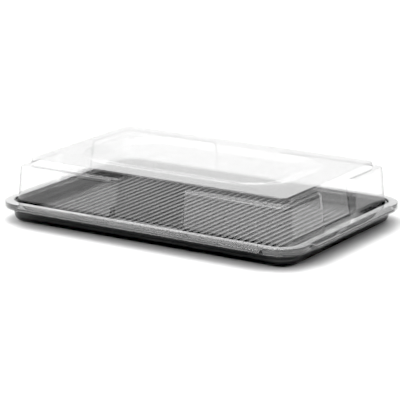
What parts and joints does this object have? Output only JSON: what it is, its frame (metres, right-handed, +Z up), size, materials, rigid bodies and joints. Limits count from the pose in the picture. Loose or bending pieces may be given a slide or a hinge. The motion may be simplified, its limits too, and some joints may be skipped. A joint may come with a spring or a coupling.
{
  "type": "humidity dome tray",
  "caption": "Shallow black rectangular tray with a ribbed floor and a tall clear push-on dome lid with four corner posts and a dished roof.",
  "frame": {"origin": "centre of the footprint, on the surface the tray stands on", "axes": "+X along the long side, +Y along the short side, +Z up out of the tray"},
  "size_m": [0.46, 0.314, 0.0805],
  "materials": {
    "tray_black": "glossy black thermoformed sheet",
    "lid_clear": "clear thermoformed sheet"
  },
  "bodies": {
    "tray": {"tray": "tray_black"},
    "lid": {"lid": "lid_clear"}
  },
  "joints": [
    {"name": "lid_lift", "type": "slide", "parent": "tray", "child": "lid", "axis": [0, 0, 1], "range_m": [0, 0.12]}
  ]
}
